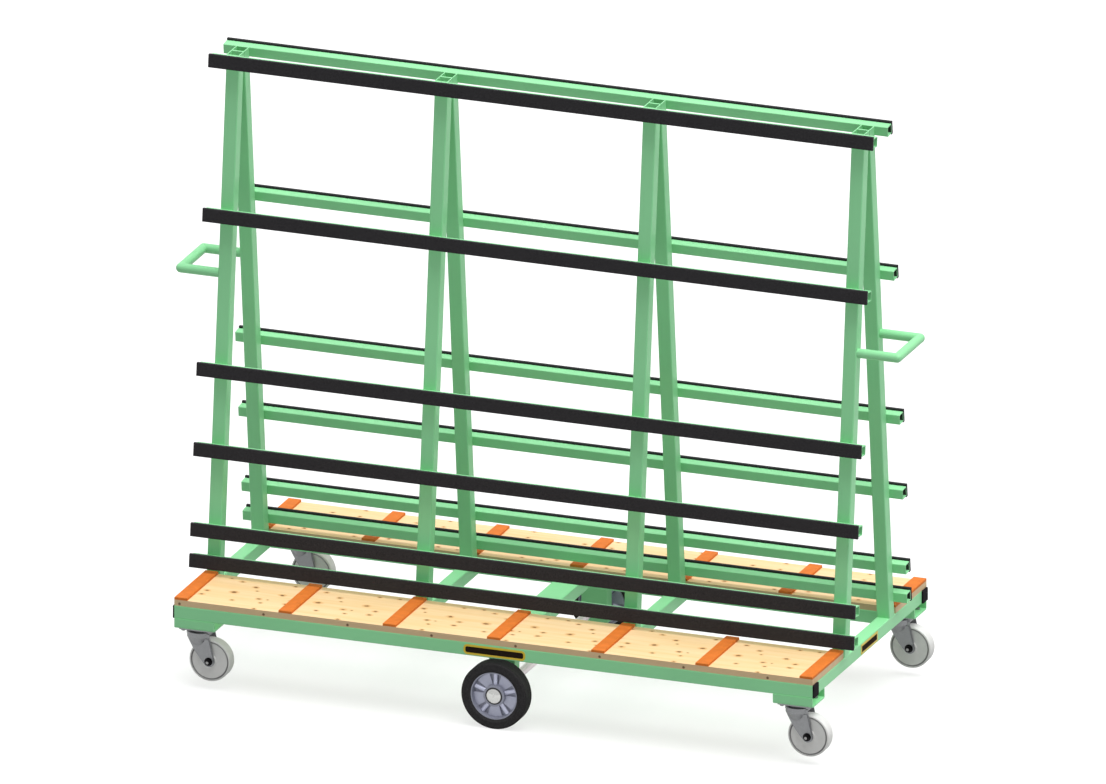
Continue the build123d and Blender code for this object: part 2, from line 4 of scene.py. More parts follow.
import bpy
from bpy.props import FloatProperty, FloatVectorProperty, PointerProperty
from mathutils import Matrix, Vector


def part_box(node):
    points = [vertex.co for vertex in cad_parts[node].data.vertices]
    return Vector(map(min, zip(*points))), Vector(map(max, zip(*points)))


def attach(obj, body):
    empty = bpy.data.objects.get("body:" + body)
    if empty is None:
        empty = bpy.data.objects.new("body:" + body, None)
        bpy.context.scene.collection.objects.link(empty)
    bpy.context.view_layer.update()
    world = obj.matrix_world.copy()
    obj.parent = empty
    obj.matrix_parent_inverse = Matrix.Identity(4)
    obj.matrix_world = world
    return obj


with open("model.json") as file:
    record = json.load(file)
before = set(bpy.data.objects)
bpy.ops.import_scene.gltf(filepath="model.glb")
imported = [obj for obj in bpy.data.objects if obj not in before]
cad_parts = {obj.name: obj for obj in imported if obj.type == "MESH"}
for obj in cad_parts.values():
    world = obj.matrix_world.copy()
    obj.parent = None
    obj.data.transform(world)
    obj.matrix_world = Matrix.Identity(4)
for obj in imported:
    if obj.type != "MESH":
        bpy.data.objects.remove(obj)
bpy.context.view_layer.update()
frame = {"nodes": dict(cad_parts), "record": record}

bl_info = {
    "name": "Glass Cart",
    "version": (1, 0, 0),
    "blender": (4, 5, 0),
    "location": "View3D > Sidebar > Glass Cart",
    "description": "Dresses the glass cart in enamel, plywood, rubber and plated steel",
    "category": "Object",
}

MM = 0.001

NODES = frame["nodes"]

# The photograph's width in pixels, its scale, and where it looks from
PHOTO_WIDTH = 1106
METRES_PER_PIXEL = 0.00287
PHOTO_AZIMUTH = radians(20.84)
PHOTO_ELEVATION = radians(19.33)
# The point in the middle of the cart, level with the top of its base frame, and how many pixels it
# lies left of the photograph's middle and below it
BASE_TOP = Vector((0, 0, 255 * MM))
BASE_TOP_LEFT, BASE_TOP_BELOW = 2.6, 203.9
CAMERA_DISTANCE = 9.0
# The floor's width and how far the camera sees, in metres
FLOOR_SIZE = CAMERA_REACH = 60

# The lamps, each with its strength and whether it casts a shadow, where they hang, and the way that
# both shine from. The fill lamp casts no shadow, so that the other one's shadows stay light.
LAMPS = (("soft_overhead_lamp", 2.15, True), ("fill_lamp", 1.75, False))
LAMP_SPREAD = radians(55)
LAMPS_PLACE = Vector((2.0, -0.5, 5.0))
LAMPS_FROM = Vector((0.24, 0.0, 1.0))
# How bright the white studio is where it lights the cart; where it is seen it is full white
STUDIO_LIGHT = 0.32

# Most of a noise lies in this range, which a pattern spreads over its two ends
NOISE_LOW, NOISE_HIGH = 0.3, 0.7
# A face is taken to face along an axis where its normal's part on that axis is above this
FACING = 0.5

# The decks' veneer has one figure that comes again along the board
FIGURE_LENGTH = 258 * MM
# Each knot's place along the figure and out from the cart's middle, and its size
KNOTS = (
    (234 * MM, 280 * MM, 1.0),
    (36 * MM, 401 * MM, 0.75),
    (20 * MM, 370 * MM, 1.0),
    (72 * MM, 318 * MM, 1.15),
    (108 * MM, 387 * MM, 1.0),
    (113 * MM, 353 * MM, 0.95),
    (82 * MM, 235 * MM, 0.8),
    (142 * MM, 231 * MM, 0.75),
    (36 * MM, 454 * MM, 0.8),
    (190 * MM, 340 * MM, 1.3),
    (209 * MM, 406 * MM, 0.85),
    (182 * MM, 249 * MM, 0.9),
    (249 * MM, 309 * MM, 0.6),
    (46 * MM, 369 * MM, 0.5),
)
# A knot is a third longer along the board than across it
KNOT_STRETCH = 0.75
# A small knot in the cut edge: along the figure, and its height over the floor
EDGE_KNOT = (68 * MM, 261.4 * MM)
# A deck's veneers, in two directions by turns
VENEER = 2 * MM
# The middle wheels' hubs: width of the rim, radius of the boss, how far the web's panels lie in
# from the hub's sides, and how far the ridges stand proud of the panels
HUB_RIM = 6 * MM
HUB_BOSS = 32 * MM
HUB_PANEL_DEPTH = 12 * MM
HUB_RIDGE_RISE = 4 * MM
# How deep the inner face of a rack rail's wall lies under the face of its rubber
RUBBER_AND_WALL = 12.5 * MM
# The castors' axles at rest: the middle of both pairs and half their distance along the cart, and
# their height over the floor
CASTOR_AXLES = (36 * MM, 919 * MM, 88.5 * MM)
# Radius of a castor axle's bolt, and the middle of the groove round each side of its wheel
CASTOR_BOLT_RADIUS = 4.2 * MM
CASTOR_GROOVE_RADIUS = 55.5 * MM
# How far the blank plates lie off the middles of their rails: along the rail, and up
FRONT_PLATE_SHIFT = (3 * MM, -1 * MM)
END_PLATE_SHIFT = (-2 * MM, 0.0)


def linear(hex_colour):
    """An sRGB hex colour as linear red, green, blue and a full alpha."""
    channels = [int(hex_colour[i:i + 2], 16) / 255 for i in (1, 3, 5)]
    curve = [c / 12.92 if c <= 0.04045 else ((c + 0.055) / 1.055) ** 2.4 for c in channels]
    return (*curve, 1.0)


def colour_property(name, description, hex_colour):
    """A colour that a user may change, with its default given in sRGB."""
    return FloatVectorProperty(
        name=name,
        description=description,
        subtype="COLOR",
        size=3,
        min=0.0,
        max=1.0,
        default=linear(hex_colour)[:3],
    )


def length_property(name, description, length):
    """A length that a user may change, in metres."""
    return FloatProperty(
        name=name, description=description, default=length, min=0.0, unit="LENGTH"
    )


class GlassCartColours(bpy.types.PropertyGroup):
    enamel: colour_property("Enamel", "Sprayed enamel on the frame, legs and rails", "#90dba0")
    plywood: colour_property("Plywood", "Face veneer of the decks", "#f2d2a4")
    plywood_edge: colour_property("Plywood edge", "Cut edge of the decks", "#d8bc93")
    strip: colour_property("Strip", "Rubber strips across the decks", "#d57224")
    rubber: colour_property("Facing", "Rubber facings of the rack rails", "#353436")
    tyre: colour_property("Tyre", "Rubber tyres of the middle wheels", "#383738")
    nylon: colour_property("Nylon", "Castor wheels", "#dfdfdd")
    plate: colour_property("Plate", "Lacquer of the two blank plates", "#d6b81f")


class GlassCartSizes(bpy.types.PropertyGroup):
    front_plate_length: length_property("Front plate", "Length of the plate on the front", 190 * MM)
    end_plate_length: length_property("End plate", "Length of the plate on the right end", 133 * MM)
    plate_height: length_property("Plate height", "Height of both blank plates", 30 * MM)
    plate_thickness: length_property("Plate thickness", "Thickness of both plates", 0.8 * MM)
    plate_border: length_property("Plate border", "Width of the plates' yellow border", 6 * MM)


def add_node(tree, kind, inputs=None, **settings):
    """Add one shader node with its settings, and set or link its inputs."""
    made = tree.nodes.new(kind)
    for name, value in settings.items():
        setattr(made, name, value)
    for socket, value in (inputs or {}).items():
        if isinstance(value, bpy.types.NodeSocket):
            tree.links.new(value, made.inputs[socket])
        else:
            made.inputs[socket].default_value = value
    return made


def start_material(name, colour, roughness, metallic=0.0, ior=None):
    """A new material, its node tree, its shader and the place that its patterns read."""
    material = bpy.data.materials.new(name)
    material.use_nodes = True
    tree = material.node_tree
    shader = tree.nodes["Principled BSDF"]
    shader.inputs["Base Color"].default_value = (*colour[:3], 1.0)
    shader.inputs["Roughness"].default_value = roughness
    shader.inputs["Metallic"].default_value = metallic
    if ior:
        shader.inputs["IOR"].default_value = ior
    place = add_node(tree, "ShaderNodeTexCoord").outputs["Object"]
    return material, tree, shader, place


def shade(colour, factor):
    """A colour made darker or lighter by a factor."""
    return (*[min(1.0, c * factor) for c in colour[:3]], 1.0)


def vary(tree, place, size, low, high, detail=2.0):
    """A number that drifts between two values over patches of a size in metres."""
    noise = add_node(
        tree, "ShaderNodeTexNoise", {"Vector": place, "Scale": 1 / size, "Detail": detail}
    )
    spread = add_node(
        tree,
        "ShaderNodeMapRange",
        {
            "Value": noise.outputs["Fac"],
            "From Min": NOISE_LOW,
            "From Max": NOISE_HIGH,
            "To Min": low,
            "To Max": high,
        },
    )
    return spread.outputs["Result"]


def blend_colours(tree, amount, below, above):
    """A colour that goes from one tone to another with an amount from 0 to 1."""
    mix = add_node(tree, "ShaderNodeMix", {0: amount, 6: below, 7: above}, data_type="RGBA")
    return mix.outputs[2]


def mottle(tree, place, size, dark, light, detail=2.0):
    """A colour that drifts between two tones over patches of a size in metres."""
    return blend_colours(tree, vary(tree, place, size, 0.0, 1.0, detail), dark, light)


def fade(tree, value, start, end, most=1.0):
    """An amount that goes smoothly from zero to its most as a value goes from start to end."""
    ramp = add_node(
        tree,
        "ShaderNodeMapRange",
        {"Value": value, "From Min": start, "From Max": end, "To Max": most},
        interpolation_type="SMOOTHSTEP",
    )
    return ramp.outputs["Result"]


def distance_from(tree, place, centre, stretch):
    """How far a place is from a centre, with each axis stretched."""
    offset = add_node(tree, "ShaderNodeVectorMath", {0: place, 1: centre}, operation="SUBTRACT")
    scaled = add_node(
        tree, "ShaderNodeVectorMath", {0: offset.outputs[0], 1: stretch}, operation="MULTIPLY"
    )
    length = add_node(tree, "ShaderNodeVectorMath", {0: scaled.outputs[0]}, operation="LENGTH")
    return length.outputs["Value"]


def relief(tree, shader, height, depth, strength):
    """Bump on a shader from a height that runs from 0 to 1 over a depth in metres."""
    bump = add_node(
        tree, "ShaderNodeBump", {"Height": height, "Distance": depth, "Strength": strength}
    )
    tree.links.new(bump.outputs["Normal"], shader.inputs["Normal"])


def finish_surface(tree, shader, colour, roughness=None):
    """Link a pattern of colour, and one of roughness if there is one, to a shader."""
    tree.links.new(colour, shader.inputs["Base Color"])
    if roughness:
        tree.links.new(roughness, shader.inputs["Roughness"])


def coat(material, *names):
    """Give CAD nodes a material, in place of the plain one that they come with."""
    for name in names:
        mesh = NODES[name].data
        mesh.materials.clear()
        mesh.materials.append(material)


def names_like(*starts):
    """The CAD nodes whose names begin with one of these words."""
    return [name for name in sorted(NODES) if name.startswith(starts)]


# Materials


def behind_rubber(tree, place):
    """One on the inner face of a rack rail's wall behind its rubber, and zero elsewhere."""
    rest = frame["record"]["mounts"][0]
    outward = Vector((0.0, abs(rest["axis"][1]), rest["axis"][2]))
    rubber_face = outward.dot(Vector((0.0, abs(rest["pos_m"][1]), rest["pos_m"][2])))
    mirrored = add_node(tree, "ShaderNodeVectorMath", {0: place}, operation="ABSOLUTE")
    level = add_node(
        tree, "ShaderNodeVectorMath", {0: mirrored.outputs[0], 1: outward}, operation="DOT_PRODUCT"
    )
    on_wall = add_node(
        tree,
        "ShaderNodeMath",
        {0: level.outputs["Value"], 1: rubber_face - RUBBER_AND_WALL, 2: 0.5 * MM},
        operation="COMPARE",
    )
    normal = add_node(tree, "ShaderNodeTexCoord").outputs["Normal"]
    upright = add_node(tree, "ShaderNodeVectorMath", {0: normal}, operation="ABSOLUTE")
    slope = add_node(tree, "ShaderNodeSeparateXYZ", {0: upright.outputs[0]})
    facing = add_node(
        tree, "ShaderNodeMath", {0: slope.outputs["Y"], 1: FACING}, operation="GREATER_THAN"
    )
    both = add_node(
        tree, "ShaderNodeMath", {0: on_wall.outputs[0], 1: facing.outputs[0]}, operation="MULTIPLY"
    )
    return both.outputs[0]


def alkyd_enamel(name, colour, lined=False):
    """Alkyd enamel sprayed on steel tube.

    It gives an even green with a soft gloss, a faint orange peel and slight drifts of tone. A lined
    rail is black inside, behind its rubber.
    """
    material, tree, shader, place = start_material(name, colour, roughness=0.42, ior=1.38)
    # The tone drifts over a third of a metre, as a spray gun's passes overlap
    tone = mottle(tree, place, 300 * MM, shade(colour, 0.96), shade(colour, 1.04))
    if lined:
        tone = blend_colours(tree, behind_rubber(tree, place), tone, linear("#161616"))
    finish_surface(tree, shader, tone, vary(tree, place, 120 * MM, 0.38, 0.48))
    # Orange peel is 1 to 2 mm wide, drawn at 4 mm so that it shows
    relief(tree, shader, vary(tree, place, 4 * MM, 0.0, 1.0), 0.06 * MM, 0.5)
    return material


def knotted_veneer(tree, place, along, veneer):
    """Veneer with knots 8 to 15 mm wide, longer along the board, with a soft halo."""
    parts = add_node(tree, "ShaderNodeSeparateXYZ", {0: place})
    across = add_node(tree, "ShaderNodeMath", {0: parts.outputs["Y"]}, operation="ABSOLUTE")
    figure = add_node(tree, "ShaderNodeCombineXYZ", {"X": along, "Y": across.outputs[0]})
    # Some knot is always nearer than a metre
    nearest = 1.0
    for knot_along, knot_across, size in KNOTS:
        stretch = (KNOT_STRETCH / size, 1.0 / size, 0.0)
        reach = distance_from(tree, figure.outputs[0], (knot_along, knot_across, 0), stretch)
        closer = add_node(tree, "ShaderNodeMath", {0: reach, 1: nearest}, operation="MINIMUM")
        nearest = closer.outputs[0]
    # A knot's outline is ragged by a millimetre or so
    rag = vary(tree, place, 9 * MM, -1.4 * MM, 1.4 * MM)
    ragged = add_node(tree, "ShaderNodeMath", {0: nearest, 1: rag}).outputs[0]
    halo = fade(tree, ragged, 12 * MM, 3 * MM, 0.7)
    heart = fade(tree, ragged, 5.6 * MM, 2.2 * MM, 0.9)
    ringed = blend_colours(tree, halo, veneer, linear("#cf9146"))
    return blend_colours(tree, heart, ringed, linear("#694019"))


def cut_edge(tree, place, along, grain, edge):
    """A deck's cut edge, whose veneers show faintly, every other one end grain, with a knot."""
    height = add_node(tree, "ShaderNodeSeparateXYZ", {0: place}).outputs["Z"]
    pair = add_node(tree, "ShaderNodeMath", {0: height, 1: 2 * VENEER, 2: 0.0}, operation="WRAP")
    end_grain = add_node(
        tree, "ShaderNodeMath", {0: pair.outputs[0], 1: VENEER}, operation="GREATER_THAN"
    )
    streaks = mottle(tree, grain, 1.0, shade(edge, 0.88), shade(edge, 1.06), 3.0)
    plies = blend_colours(tree, end_grain.outputs[0], streaks, shade(edge, 0.92))
    side = add_node(tree, "ShaderNodeCombineXYZ", {"X": along, "Z": height})
    off_knot = distance_from(
        tree, side.outputs[0], (EDGE_KNOT[0], 0, EDGE_KNOT[1]), (1.0, 0.0, 1.0)
    )
    return blend_colours(
        tree, fade(tree, off_knot, 5.5 * MM, 2.5 * MM, 0.9), plies, linear("#5d3f28")
    )


def pine_plywood(face, edge):
    """Pine plywood, peeled and sanded, with a clear matt varnish.

    It gives long pale bands of yellow and peach with small brown knots, and a duller cut edge.
    """
    material, tree, shader, place = start_material(
        "varnished_pine_plywood", face, roughness=0.6, ior=1.4
    )
    # Bands of early and late wood are 10 to 20 mm wide and run a third of a metre
    long_grain = add_node(
        tree, "ShaderNodeMapping", {"Vector": place, "Scale": (3.4, 52.0, 60.0)}
    ).outputs[0]
    peach = (face[0] * 0.95, face[1] * 0.89, face[2] * 0.74, 1.0)
    bands = mottle(tree, long_grain, 1.0, peach, shade(face, 1.03), 3.0)
    # Pores and latewood lines run along the board, 2 to 3 mm apart
    fine_grain = add_node(
        tree, "ShaderNodeMapping", {"Vector": place, "Scale": (12.0, 380.0, 380.0)}
    ).outputs[0]
    lines = vary(tree, fine_grain, 1.0, 0.0, 0.16)
    veneer = blend_colours(tree, lines, bands, shade(face, 0.7))
    length = add_node(tree, "ShaderNodeSeparateXYZ", {0: place}).outputs["X"]
    along = add_node(
        tree, "ShaderNodeMath", {0: length, 1: FIGURE_LENGTH, 2: 0.0}, operation="WRAP"
    ).outputs[0]
    normal = add_node(tree, "ShaderNodeTexCoord").outputs["Normal"]
    slope = add_node(tree, "ShaderNodeSeparateXYZ", {0: normal})
    level = add_node(tree, "ShaderNodeMath", {0: slope.outputs["Z"]}, operation="ABSOLUTE")
    on_edge = add_node(
        tree, "ShaderNodeMath", {0: level.outputs[0], 1: FACING}, operation="LESS_THAN"
    )
    whole = blend_colours(
        tree,
        on_edge.outputs[0],
        knotted_veneer(tree, place, along, veneer),
        cut_edge(tree, place, along, long_grain, edge),
    )
    finish_surface(tree, shader, whole, vary(tree, place, 50 * MM, 0.52, 0.66))
    relief(tree, shader, lines, 0.05 * MM, 0.4)
    return material


def strip_rubber(colour):
    """Pigmented sheet rubber, cut in strips.

    It gives a strong matt orange, slightly cloudy, with a fine grain.
    """
    material, tree, shader, place = start_material(
        "orange_sheet_rubber", colour, roughness=0.7, ior=1.4
    )
    tone = mottle(tree, place, 25 * MM, shade(colour, 0.9), shade(colour, 1.06), 4.0)
    finish_surface(tree, shader, tone)
    relief(tree, shader, vary(tree, place, 2.5 * MM, 0.0, 1.0), 0.15 * MM, 0.5)
    return material


def black_rubber(name, colour, grain):
    """Black rubber, extruded or moulded.

    It gives a dark matt grey with a fine pale bloom in specks.
    """
    material, tree, shader, place = start_material(name, colour, roughness=0.82, ior=1.12)
    tone = mottle(tree, place, grain, shade(colour, 0.72), shade(colour, 1.35), 3.0)
    finish_surface(tree, shader, tone)
    relief(tree, shader, vary(tree, place, grain, 0.0, 1.0), 0.12 * MM, 0.4)
    return material


def moulded_plastic(name, colour, roughness, grain, ior=1.5):
    """Injection moulded plastic.

    It gives an even tone with a fine eroded grain from the mould.
    """
    material, tree, shader, place = start_material(name, colour, roughness, ior=ior)
    tone = mottle(tree, place, 18 * MM, shade(colour, 0.96), shade(colour, 1.02))
    finish_surface(tree, shader, tone)
    relief(tree, shader, vary(tree, place, grain, 0.0, 1.0), 0.04 * MM, 0.35)
    return material


def metal(name, colour, roughness, grain, depth, metallic=1.0, stretch=(1.0, 1.0, 1.0), drift=0.12):
    """Bare, plated or cast metal, with a grain stretched along the way that it was worked."""
    material, tree, shader, place = start_material(name, colour, roughness, metallic)
    worked = add_node(tree, "ShaderNodeMapping", {"Vector": place, "Scale": stretch}).outputs[0]
    tone = mottle(tree, worked, grain, shade(colour, 1 - drift), shade(colour, 1 + drift), 3.0)
    rough = vary(tree, worked, 3 * grain, roughness - 0.06, roughness + 0.06)
    finish_surface(tree, shader, tone, rough)
    relief(tree, shader, vary(tree, worked, grain, 0.0, 1.0), depth, 0.5)
    return material


def hub_ridges(tree, place):
    """One on the ridges of the middle wheels' hubs, where their painted highlight goes, and zero on
    their panels, rims and bosses.
    """
    low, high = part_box("hub_front")
    middle_y, axle_z = abs(high[1] + low[1]) / 2, (low[2] + high[2]) / 2
    # The ridges stand out from the panels on both sides of the hub's middle
    mirrored = add_node(tree, "ShaderNodeVectorMath", {0: place}, operation="ABSOLUTE")
    side = add_node(tree, "ShaderNodeSeparateXYZ", {0: mirrored.outputs[0]}).outputs["Y"]
    aside = add_node(tree, "ShaderNodeMath", {0: side, 1: middle_y}, operation="SUBTRACT")
    out = add_node(tree, "ShaderNodeMath", {0: aside.outputs[0]}, operation="ABSOLUTE")
    panel_face = (high[1] - low[1]) / 2 - HUB_PANEL_DEPTH
    rise = HUB_RIDGE_RISE / 2
    proud = fade(tree, out.outputs[0], panel_face - rise, panel_face + rise)
    # The web runs from the boss to the rim, and the ridges keep half a millimetre off both
    web_radius = (high[0] - low[0]) / 2 - HUB_RIM
    on_web = add_node(
        tree,
        "ShaderNodeMath",
        {
            0: distance_from(tree, place, (0, 0, axle_z), (1.0, 0.0, 1.0)),
            1: (web_radius + HUB_BOSS) / 2,
            2: (web_radius - HUB_BOSS) / 2 - 0.5 * MM,
        },
        operation="COMPARE",
    )
    ridge = add_node(tree, "ShaderNodeMath", {0: proud, 1: on_web.outputs[0]}, operation="MULTIPLY")
    return ridge.outputs[0]


def cast_hub(colour):
    """Die cast aluminium.

    It gives a cool grey with a coarse dull grain, and a painted highlight that makes the ridges
    brighter.
    """
    material, tree, shader, place = start_material(
        "cast_aluminium", colour, roughness=0.5, metallic=0.5
    )
    tone = mottle(tree, place, 2 * MM, shade(colour, 0.88), shade(colour, 1.12), 3.0)
    # Painted highlight: the ridges get a lighter copy of the grey, as if light fell on them
    ridges_painted_light = blend_colours(tree, hub_ridges(tree, place), tone, shade(colour, 2.1))
    finish_surface(tree, shader, ridges_painted_light, vary(tree, place, 6 * MM, 0.44, 0.56))
    relief(tree, shader, vary(tree, place, 2 * MM, 0.0, 1.0), 0.12 * MM, 0.5)
    return material


def off_castor_axle(tree, place):
    """How far a place is from the line of the nearest castor axle at rest."""
    middle, reach, height = CASTOR_AXLES
    parts = add_node(tree, "ShaderNodeSeparateXYZ", {0: place}).outputs
    along = add_node(tree, "ShaderNodeMath", {0: parts["X"], 1: middle}, operation="SUBTRACT")
    out = add_node(tree, "ShaderNodeMath", {0: along.outputs[0]}, operation="ABSOLUTE")
    side = add_node(tree, "ShaderNodeCombineXYZ", {"X": out.outputs[0], "Z": parts["Z"]})
    return distance_from(tree, side.outputs[0], (reach, 0, height), (1.0, 0.0, 1.0))


def black_bolt(black, bright):
    """Blackened steel bolt and nut, with the sawn end of the bolt left bright."""
    material, tree, shader, place = start_material(
        "blackened_bolt_steel", black, roughness=0.45, metallic=1.0
    )
    tone = mottle(tree, place, 4 * MM, shade(black, 0.8), shade(black, 1.3))
    off_axle = off_castor_axle(tree, place)
    shank = add_node(
        tree, "ShaderNodeMath", {0: off_axle, 1: CASTOR_BOLT_RADIUS}, operation="LESS_THAN"
    )
    finish_surface(tree, shader, blend_colours(tree, shank.outputs[0], tone, bright))
    relief(tree, shader, vary(tree, place, 3 * MM, 0.0, 1.0), 0.03 * MM, 0.5)
    return material


def cast_nylon(colour):
    """White cast nylon, turned on a lathe.

    It gives a soft milky white, with painted shade making the groove round each side grey.
    """
    material, tree, shader, place = start_material(
        "white_cast_nylon", colour, roughness=0.5, ior=1.45
    )
    tone = mottle(tree, place, 18 * MM, shade(colour, 0.96), shade(colour, 1.02))
    off_axle = off_castor_axle(tree, place)
    aside = add_node(
        tree, "ShaderNodeMath", {0: off_axle, 1: CASTOR_GROOVE_RADIUS}, operation="SUBTRACT"
    )
    off_groove = add_node(tree, "ShaderNodeMath", {0: aside.outputs[0]}, operation="ABSOLUTE")
    # Painted shade: the groove round each side is darkened to grey, as if in shadow
    groove_shade = fade(tree, off_groove.outputs[0], 2.8 * MM, 1.6 * MM, 0.85)
    finish_surface(tree, shader, blend_colours(tree, groove_shade, tone, linear("#6f6f70")))
    relief(tree, shader, vary(tree, place, 2 * MM, 0.0, 1.0), 0.04 * MM, 0.35)
    return material


# Pieces


def deselect_all():
    """Leave nothing selected, so that an operator acts on its own piece alone."""
    if bpy.context.object and bpy.context.object.mode != "OBJECT":
        bpy.ops.object.mode_set(mode="OBJECT")
    bpy.ops.object.select_all(action="DESELECT")


def settle(piece):
    """Put a piece's place, turn and size into its mesh."""
    deselect_all()
    piece.select_set(True)
    bpy.context.view_layer.objects.active = piece
    bpy.ops.object.transform_apply(location=True, rotation=True, scale=True)


def select_faces(piece, test):
    """In edit mode, select the faces whose middle and normal pass a test."""
    bpy.ops.mesh.select_all(action="DESELECT")
    bpy.ops.object.mode_set(mode="OBJECT")
    for face in piece.data.polygons:
        face.select = test(face.center, face.normal)
    bpy.ops.object.mode_set(mode="EDIT")


def select_edges(piece, test):
    """In edit mode, select the edges whose two ends pass a test."""
    bpy.ops.mesh.select_all(action="DESELECT")
    bpy.ops.object.mode_set(mode="OBJECT")
    points = piece.data.vertices
    for edge in piece.data.edges:
        edge.select = test(*[points[i].co for i in edge.vertices])
    bpy.ops.object.mode_set(mode="EDIT")


class GLASSCART_OT_frame(bpy.types.Operator):
    """Coat the base frame, the A-frames, the rack rails and the handles in green enamel"""

    bl_idname = "glasscart.frame"
    bl_label = "Frame"

    def execute(self, context):
        colour = context.scene.glass_cart_colours.enamel
        coat(
            alkyd_enamel("sprayed_frame_enamel", colour),
            *names_like("base_rail", "end_rail", "cross_rail", "centre_beam", "leg_"),
            *names_like("handle", "axle_post", "castor_channels"),
        )
        coat(alkyd_enamel("sprayed_rack_enamel", colour, lined=True), *names_like("rack_rail"))
        return {"FINISHED"}


class GLASSCART_OT_decks(bpy.types.Operator):
    """Give the decks their plywood and the strips their orange rubber"""

    bl_idname = "glasscart.decks"
    bl_label = "Decks and strips"

    def execute(self, context):
        colours = context.scene.glass_cart_colours
        coat(pine_plywood(colours.plywood, colours.plywood_edge), "deck_front", "deck_rear")
        coat(strip_rubber(colours.strip), "deck_strips")
        return {"FINISHED"}


class GLASSCART_OT_facings(bpy.types.Operator):
    """Give the rail facings their black rubber and the rail ends their plastic caps"""

    bl_idname = "glasscart.facings"
    bl_label = "Facings and caps"

    def execute(self, context):
        colour = context.scene.glass_cart_colours.rubber
        coat(black_rubber("extruded_black_rubber", colour, grain=3 * MM), "rubber_facings")
        black = moulded_plastic(
            "black_polyethylene", linear("#1d1a1e"), roughness=0.75, grain=1.5 * MM, ior=1.12
        )
        coat(black, "end_caps")
        return {"FINISHED"}


def add_plate(name, middle, span, outward, sizes, finishes, rounded=False):
    """A thin blank plate on the frame's outer side, with a sunk field inside its border."""
    half = sizes.plate_thickness / 2
    deselect_all()
    bpy.ops.mesh.primitive_cube_add(size=1, location=middle, scale=(*span, sizes.plate_height))
    plate = bpy.context.object
    plate.name = name
    settle(plate)
    for finish in finishes:
        plate.data.materials.append(finish)
    bpy.ops.object.mode_set(mode="EDIT")
    bpy.ops.mesh.select_mode(type="EDGE")
    if rounded:
        # The edges at the corners run through the plate, so they are its shortest
        select_edges(plate, lambda start, end: (end - start).length < 4 * half)
        bpy.ops.mesh.bevel(offset=2 * sizes.plate_border, segments=8, affect="EDGES")
    bpy.ops.mesh.select_mode(type="FACE")
    select_faces(plate, lambda centre, normal: normal.dot(outward) > 0.9)
    bpy.ops.mesh.inset(thickness=sizes.plate_border)
    plate.active_material_index = 1
    bpy.ops.object.material_slot_assign()
    bpy.ops.mesh.inset(thickness=half, depth=-half / 2)
    bpy.ops.object.mode_set(mode="OBJECT")
    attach(plate, "chassis")


class GLASSCART_OT_plates(bpy.types.Operator):
    """Add the two blank plates, one on the front rail and one on the right end rail"""

    bl_idname = "glasscart.plates"
    bl_label = "Blank plates"

    def execute(self, context):
        sizes = context.scene.glass_cart_sizes
        yellow = context.scene.glass_cart_colours.plate
        finishes = (
            moulded_plastic("yellow_lacquered_sheet", yellow, roughness=0.4, grain=2 * MM),
            black_rubber("dark_matt_field", linear("#261d15"), grain=3 * MM),
        )
        front_rail, end_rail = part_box("base_rail_front"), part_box("end_rail_right")
        rail_middle = (front_rail[0][2] + front_rail[1][2]) / 2
        thickness = sizes.plate_thickness
        along, up = FRONT_PLATE_SHIFT
        add_plate(
            "front_plate",
            (along, front_rail[0][1] - thickness / 2, rail_middle + up),
            (sizes.front_plate_length, thickness),
            Vector((0, -1, 0)),
            sizes,
            finishes,
            rounded=True,
        )
        along, up = END_PLATE_SHIFT
        add_plate(
            "end_plate",
            (end_rail[1][0] + thickness / 2, along, rail_middle + up),
            (thickness, sizes.end_plate_length),
            Vector((1, 0, 0)),
            sizes,
            finishes,
        )
        return {"FINISHED"}


class GLASSCART_OT_middle_wheels(bpy.types.Operator):
    """Finish the middle wheels, their hubs, bearings and caps, and their axle"""

    bl_idname = "glasscart.middle_wheels"
    bl_label = "Middle wheels"

    def execute(self, context):
        colour = context.scene.glass_cart_colours.tyre
        tread = black_rubber("moulded_tyre_rubber", colour, grain=3 * MM)
        coat(tread, "tyre_front", "tyre_rear")
        coat(cast_hub(linear("#8a8c9a")), "hub_front", "hub_rear")
        seal = moulded_plastic(
            "nitrile_bearing_seal", linear("#1b1b1c"), roughness=0.55, grain=1.5 * MM
        )
        coat(seal, "hub_bearings_front", "hub_bearings_rear")
        # Pressed and polished steel gives a soft bright dome
        polished = metal(
            "polished_steel",
            linear("#c1c1bf"),
            roughness=0.22,
            grain=6 * MM,
            depth=0.01 * MM,
            drift=0.03,
        )
        coat(polished, "axle_caps")
        # Drawn bar gives fine lines along the axle
        drawn = metal(
            "drawn_steel",
            linear("#f4e4ec"),
            roughness=0.4,
            grain=2 * MM,
            depth=0.01 * MM,
            metallic=0.45,
            stretch=(1.0, 0.05, 1.0),
            drift=0.04,
        )
        coat(drawn, "axle", "axle_collars")
        return {"FINISHED"}


class GLASSCART_OT_castors(bpy.types.Operator):
    """Finish the castors: plated plates and forks, black axle bolts and nylon wheels"""

    bl_idname = "glasscart.castors"
    bl_label = "Castors"

    def execute(self, context):
        # Zinc plate on pressed steel gives a mid grey with a faint crystal grain
        zinc = metal(
            "zinc_plated_steel",
            linear("#838486"),
            roughness=0.42,
            grain=2.2 * MM,
            depth=0.03 * MM,
            metallic=0.85,
        )
        coat(zinc, *names_like("castor_fork"), "castor_plates", "castor_bolts")
        bolt = black_bolt(black=linear("#1c1c1d"), bright=linear("#8a8a8a"))
        coat(bolt, *names_like("castor_axle"))
        nylon = cast_nylon(context.scene.glass_cart_colours.nylon)
        coat(nylon, *names_like("castor_wheel"))
        return {"FINISHED"}


# Stage


